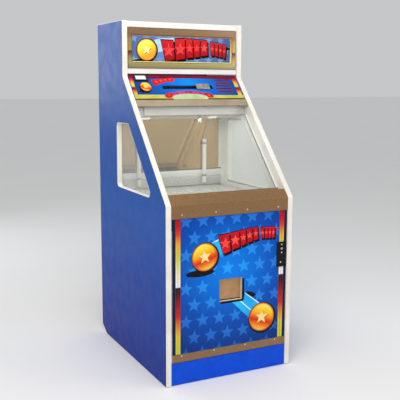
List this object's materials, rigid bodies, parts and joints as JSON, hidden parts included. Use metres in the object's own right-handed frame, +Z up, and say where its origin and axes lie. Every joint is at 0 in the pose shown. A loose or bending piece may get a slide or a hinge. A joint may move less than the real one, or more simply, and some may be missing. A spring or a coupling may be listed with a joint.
{
  "type": "coin pusher machine",
  "caption": "Upright coin pusher cabinet: sloping glass front over a sliding shelf, sliding coin shuttle, lit header sign, side windows, hinged front door, ticket opening and rear casters.",
  "frame": {"origin": "centre of the cabinet's footprint, on the floor", "axes": "+Z up; -Y towards the player, +Y towards the rear; +X to the player's right"},
  "size_m": [0.715, 0.945, 1.8],
  "materials": {
    "blue_laminate": "board faced with satin blue laminate",
    "bright_blue_laminate": "board faced with gloss blue laminate",
    "white_trim": "extruded PVC edge moulding",
    "white_board": "board with white melamine face",
    "plain_board": "plain plywood",
    "bronze_sheet": "hammered bronze powder coat on bent sheet",
    "white_sheet": "white powder-coated sheet",
    "clear_acrylic": "clear acrylic",
    "clear_glass": "clear tempered glass",
    "mirror": "bronze-tinted mirror acrylic",
    "printed_panel": "polycarbonate printed on its back",
    "backlit_panel": "translucent acrylic sign",
    "black_plastic": "black moulded plastic",
    "black_steel": "black powder coat",
    "display_window": "diffusing display window",
    "screw_steel": "plated steel",
    "bright_steel": "nickel-plated steel",
    "grey_steel": "zinc-plated steel",
    "anodised": "black anodised extrusion",
    "cast_metal": "satin cast zinc",
    "tube_white": "white lamp tube",
    "wheel_rubber": "grey rubber tyre",
    "gear_steel": "machined steel"
  },
  "bodies": {
    "cabinet": {"left_side_panel": "blue_laminate", "right_side_panel": "blue_laminate", "edge_mouldings": "white_trim", "window_mouldings": "white_trim", "window_panes": "clear_acrylic", "wall_liners": "white_sheet", "panel_screws": "screw_steel", "base_board": "plain_board", "levelling_feet": "grey_steel", "kick_panel": "bright_blue_laminate", "caster_brackets": "grey_steel", "front_cross_rail": "plain_board", "ledge_cap": "bronze_sheet", "front_glass": "clear_glass", "glass_channels": "black_plastic", "header_board": "white_board", "marquee_panel": "backlit_panel", "marquee_frame": "bronze_sheet", "top_board": "white_board", "marquee_lamp": "tube_white", "instruction_panel": "printed_panel", "shuttle_rail": "anodised", "panel_retainer_bar": "bronze_sheet", "display_bezel": "black_plastic", "display_lens": "display_window", "lamp_box": "white_sheet", "playfield_lamps": "tube_white", "back_mirror": "mirror", "post_lamps": "tube_white", "playfield_bed": "white_board", "front_inner_wall": "white_board", "win_chute": "grey_steel", "coin_box": "grey_steel", "pusher_guides": "black_plastic", "drive_motor": "grey_steel", "door_hinge_frame_leaf": "bright_steel", "rear_upper_panel": "white_board", "rear_access_panel": "white_board", "rear_lock_body": "bright_steel", "rear_lower_rail": "white_board", "power_inlet": "black_plastic"},
    "pusher": {"pusher_shelf": "white_sheet", "pusher_rack": "gear_steel"},
    "drive_pinion": {"drive_pinion": "gear_steel"},
    "shuttle": {"coin_shuttle": "cast_metal", "coin_runway": "bright_steel"},
    "front_door": {"door_panel": "white_board", "door_artwork": "printed_panel", "door_retainer": "bronze_sheet", "retainer_screws": "screw_steel", "door_hinge_door_leaf": "bright_steel", "lock_plate": "black_steel", "ticket_plate": "bronze_sheet", "ticket_dispenser": "grey_steel"},
    "door_lock": {"door_lock_plug": "bright_steel"},
    "ticket_roller": {"ticket_roller": "wheel_rubber"},
    "rear_lock": {"rear_lock_plug": "bright_steel"},
    "power_rocker": {"power_rocker": "black_plastic"},
    "left_caster_wheel": {"left_caster_wheel": "wheel_rubber"},
    "right_caster_wheel": {"right_caster_wheel": "wheel_rubber"}
  },
  "joints": [
    {"name": "pusher_slide", "type": "slide", "parent": "cabinet", "child": "pusher", "axis": [0, -1, 0], "range_m": [0, 0.08]},
    {"name": "pinion_spin", "type": "hinge", "parent": "cabinet", "child": "drive_pinion", "pos_m": [0, 0.2625, 0.82], "axis": [1, 0, 0], "range_deg": [0, 260]},
    {"name": "shuttle_slide", "type": "slide", "parent": "cabinet", "child": "shuttle", "axis": [1, 0, 0], "range_m": [-0.195, 0.021]},
    {"name": "front_door_hinge", "type": "hinge", "parent": "cabinet", "child": "front_door", "pos_m": [-0.3272, -0.4701, 0.4765], "axis": [0, 0, -1], "range_deg": [0, 110]},
    {"name": "door_lock_turn", "type": "hinge", "parent": "front_door", "child": "door_lock", "pos_m": [0.297, -0.4395, 0.636], "axis": [0, -1, 0], "range_deg": [0, 90]},
    {"name": "ticket_roller_spin", "type": "hinge", "parent": "front_door", "child": "ticket_roller", "pos_m": [0.002, -0.4105, 0.372], "axis": [1, 0, 0], "continuous": true},
    {"name": "rear_lock_turn", "type": "hinge", "parent": "cabinet", "child": "rear_lock", "pos_m": [0, 0.4575, 0.66], "axis": [0, 1, 0], "range_deg": [0, 90]},
    {"name": "power_switch_rock", "type": "hinge", "parent": "cabinet", "child": "power_rocker", "pos_m": [-0.23, 0.4615, 0.14], "axis": [1, 0, 0], "range_deg": [-16, 0]},
    {"name": "left_caster_spin", "type": "hinge", "parent": "cabinet", "child": "left_caster_wheel", "pos_m": [-0.25, 0.4305, 0.037], "axis": [1, 0, 0], "continuous": true},
    {"name": "right_caster_spin", "type": "hinge", "parent": "cabinet", "child": "right_caster_wheel", "pos_m": [0.25, 0.4305, 0.037], "axis": [1, 0, 0], "continuous": true}
  ],
  "couplings": [
    {"joint": "pinion_spin", "follows": "pusher_slide", "rad_per_m": 55.556}
  ]
}
